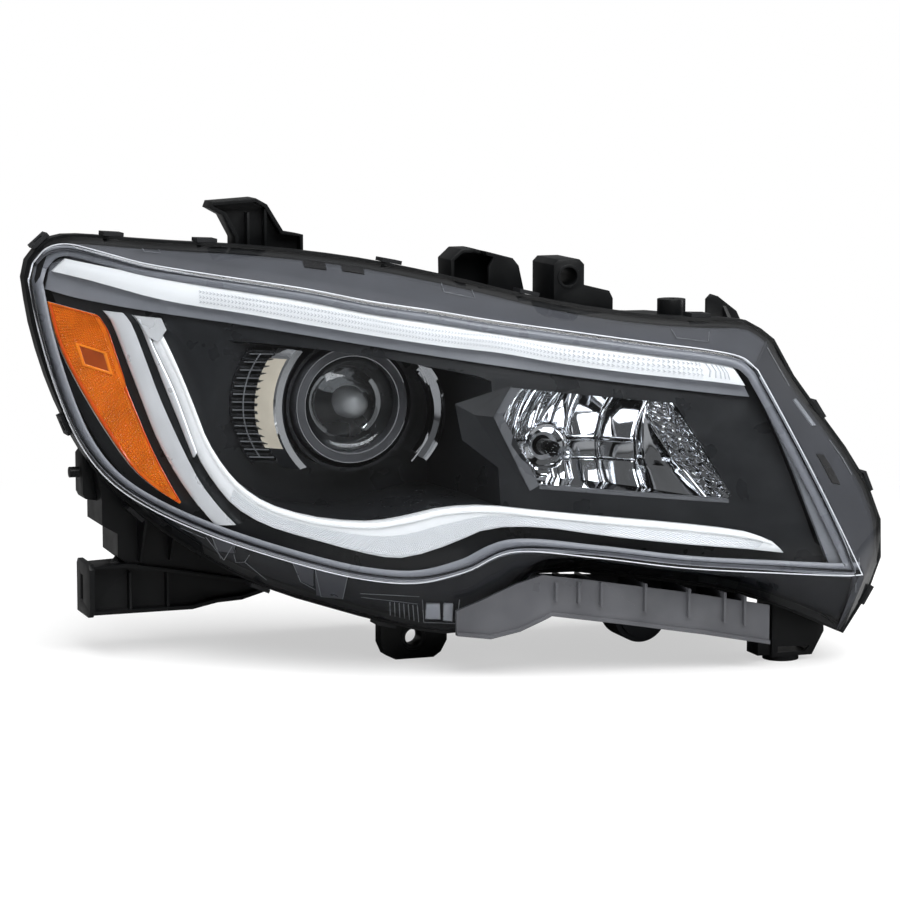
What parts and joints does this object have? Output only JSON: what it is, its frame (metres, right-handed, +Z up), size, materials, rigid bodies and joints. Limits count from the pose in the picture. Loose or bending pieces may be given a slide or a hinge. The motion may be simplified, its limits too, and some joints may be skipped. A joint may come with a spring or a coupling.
{
  "type": "car headlight assembly",
  "caption": "Passenger-side car headlight with a clear wrap-around lens, projector low beam, reflector high beam, light guides, amber side reflector and moulded brackets.",
  "frame": {"origin": "centre of the lamp's bounding box, at the height of its lowest foot", "axes": "+X inboard (to the grille, along the longest side), +Y rearwards into the car, +Z up as fitted"},
  "size_m": [0.6054, 0.3558, 0.352],
  "materials": {
    "black_moulding": "fine moulded grain",
    "bezel_black": "satin black",
    "grey_nylon": "moulded",
    "black_bulb_base": "moulded",
    "natural_nylon": "moulded",
    "clear_lens": "polished clear",
    "light_guide": "frosted clear",
    "satin_trim": "satin silver paint",
    "grey_tray": "moulded",
    "amber": "prismatic",
    "metallised": "vacuum metallised",
    "board": "solder mask",
    "steel": "zinc plated",
    "rubber": "matt",
    "clear_glass": "polished"
  },
  "bodies": {
    "lamp_housing": {"housing": "black_moulding", "outer_lens": "clear_lens", "lens_sealant": "rubber", "bezel": "bezel_black", "upper_light_guide": "light_guide", "upper_guide_trim": "satin_trim", "lower_light_guide": "light_guide", "outboard_strip": "satin_trim", "inboard_strip": "satin_trim", "inner_edge_trim": "satin_trim", "side_reflector": "amber", "side_reflector_tray": "grey_tray", "projector_arc_outboard": "metallised", "projector_arc_inboard": "metallised", "projector_fins": "bezel_black", "upper_led_board": "board", "lower_led_board": "board", "led_driver_module": "black_moulding", "pivot_studs": "steel", "aim_guide": "grey_nylon", "hook_bracket": "black_moulding", "clip_bracket": "black_moulding", "bolt_bracket": "black_moulding", "locator_boss": "black_moulding", "side_arm_bracket": "black_moulding", "lower_bolt_tab": "black_moulding", "corner_foot": "black_moulding", "lower_rib_panel": "black_moulding", "rear_foot": "black_moulding", "vent_caps": "rubber", "main_connector": "black_moulding", "lens_clips": "black_moulding", "driver_screws": "steel", "locating_peg": "black_moulding"},
    "optics_carrier": {"carrier_frame": "grey_nylon", "projector_body": "metallised", "lens_holder": "bezel_black", "projector_lens": "clear_glass", "cutoff_shield": "steel", "high_beam_reflector": "metallised", "pivot_sockets": "natural_nylon", "aim_socket": "natural_nylon", "projector_screws": "steel"},
    "low_bulb": {"low_beam_bulb": "clear_glass", "low_beam_bulb_base": "black_bulb_base"},
    "high_bulb": {"high_beam_bulb": "clear_glass", "high_beam_bulb_base": "black_bulb_base"},
    "low_cap": {"low_beam_cap": "black_moulding", "low_cap_gasket": "rubber"},
    "high_cap": {"high_beam_cap": "black_moulding", "high_cap_gasket": "rubber"},
    "aim_screw": {"aim_stud": "steel"},
    "aim_screw_wheel": {"aim_wheel": "natural_nylon"},
    "side_socket": {"side_marker_socket": "grey_nylon", "side_marker_bulb": "amber"}
  },
  "joints": [
    {"name": "beam_aim", "type": "hinge", "parent": "lamp_housing", "child": "optics_carrier", "pos_m": [0.00829, 0.04498, 0.228], "axis": [1, 0, 0], "range_deg": [-2, 2]},
    {"name": "aim_screw_slide", "type": "slide", "parent": "lamp_housing", "child": "aim_screw", "axis": [0, 1, 0], "range_m": [-0.004, 0.004]},
    {"name": "aim_wheel_turn", "type": "hinge", "parent": "lamp_housing", "child": "aim_screw_wheel", "pos_m": [0.12829, 0.08298, 0.118], "axis": [0, 1, 0], "range_deg": [-930, 930]},
    {"name": "low_beam_bulb_twist", "type": "hinge", "parent": "optics_carrier", "child": "low_bulb", "pos_m": [-0.08671, 0.08918, 0.2], "axis": [0, 1, 0], "range_deg": [0, 30]},
    {"name": "high_beam_bulb_twist", "type": "hinge", "parent": "optics_carrier", "child": "high_bulb", "pos_m": [0.06529, -0.01702, 0.163], "axis": [0, 1, 0], "range_deg": [0, 30]},
    {"name": "low_beam_cap_twist", "type": "hinge", "parent": "lamp_housing", "child": "low_cap", "pos_m": [-0.08671, 0.14298, 0.2], "axis": [0, 1, 0], "range_deg": [0, 30]},
    {"name": "high_beam_cap_twist", "type": "hinge", "parent": "lamp_housing", "child": "high_cap", "pos_m": [0.06529, 0.08098, 0.163], "axis": [0, 1, 0], "range_deg": [0, 30]},
    {"name": "side_marker_socket_twist", "type": "hinge", "parent": "lamp_housing", "child": "side_socket", "pos_m": [-0.25471, 0.16298, 0.212], "axis": [0, 1, 0], "range_deg": [0, 30]}
  ],
  "couplings": [
    {"joint": "aim_screw_slide", "follows": "beam_aim", "m_per_rad": 0.11},
    {"joint": "aim_wheel_turn", "follows": "beam_aim", "ratio": 460.77}
  ]
}
